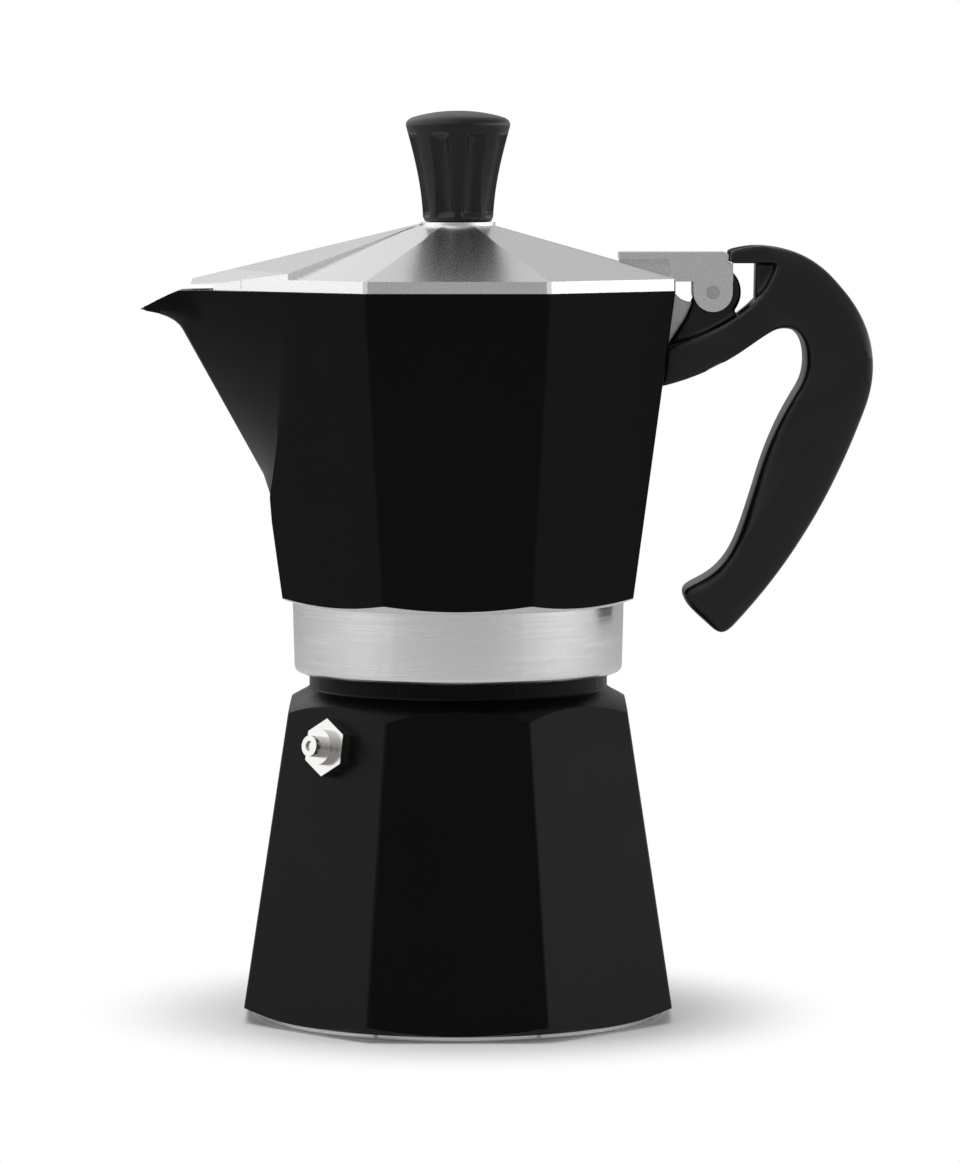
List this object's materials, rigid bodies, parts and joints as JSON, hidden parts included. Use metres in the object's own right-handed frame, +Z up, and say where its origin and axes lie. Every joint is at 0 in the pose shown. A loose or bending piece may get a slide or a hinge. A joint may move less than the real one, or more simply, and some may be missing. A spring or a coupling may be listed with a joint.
{
  "type": "moka pot",
  "caption": "Octagonal stovetop moka pot: boiler with safety valve, screw-on collector with spout and side handle, hinged lid with knob, funnel, gasket and filter plate inside.",
  "frame": {"origin": "centre of the boiler's underside, on the table", "axes": "+Z up along the pot's turning axis, +X towards the handle, -X towards the spout, -Y towards the front"},
  "size_m": [0.1771, 0.1038, 0.219],
  "materials": {
    "black_paint": "satin black lacquer over cast aluminium, bare at the rim, the collar and the foot",
    "cast_aluminium": "satin, brushed",
    "spun_aluminium": "spun",
    "bakelite": "semi-gloss black moulding",
    "valve_steel": "nickelled, turned",
    "brass": "turned",
    "rubber": "matt, food grade"
  },
  "bodies": {
    "boiler": {"boiler": "black_paint", "valve_body": "valve_steel", "valve_seat": "valve_steel", "valve_spring": "valve_steel"},
    "valve_stem": {"valve_stem": "valve_steel"},
    "funnel": {"funnel_basket": "spun_aluminium", "funnel_tube": "spun_aluminium", "funnel_screen": "spun_aluminium"},
    "gasket": {"gasket": "rubber"},
    "filter_plate": {"filter_plate": "spun_aluminium"},
    "collector": {"collector": "black_paint", "handle": "bakelite", "hinge_pin": "valve_steel"},
    "lid": {"lid": "cast_aluminium", "knob": "bakelite", "knob_insert": "brass", "knob_screw": "valve_steel", "knob_washer": "valve_steel"}
  },
  "joints": [
    {"name": "valve_press", "type": "slide", "parent": "boiler", "child": "valve_stem", "axis": [-0.6993, -0.6993, 0.1486], "range_m": [0, 0.0015], "stiffness_N_per_m": 500, "deforming": ["valve_spring"]},
    {"name": "funnel_lift", "type": "slide", "parent": "boiler", "child": "funnel", "axis": [0, 0, 1], "range_m": [0, 0.06]},
    {"name": "collector_lift", "type": "slide", "parent": "boiler", "child": "gasket", "axis": [0, 0, 1], "range_m": [0, 0.12]},
    {"name": "collector_rise", "type": "slide", "parent": "gasket", "child": "filter_plate", "axis": [0, 0, 1], "range_m": [0, 0.00701]},
    {"name": "collector_turn", "type": "hinge", "parent": "filter_plate", "child": "collector", "pos_m": [0, 0, 0.0833], "axis": [0, 0, 1], "range_deg": [0, 630]},
    {"name": "lid_hinge", "type": "hinge", "parent": "collector", "child": "lid", "pos_m": [0.0614, 0, 0.1754], "axis": [0, 1, 0], "range_deg": [0, 90]}
  ],
  "couplings": [
    {"joint": "funnel_lift", "follows": "collector_lift", "ratio": 0.5},
    {"joint": "collector_rise", "follows": "collector_turn", "m_per_rad": 0.00063662}
  ]
}
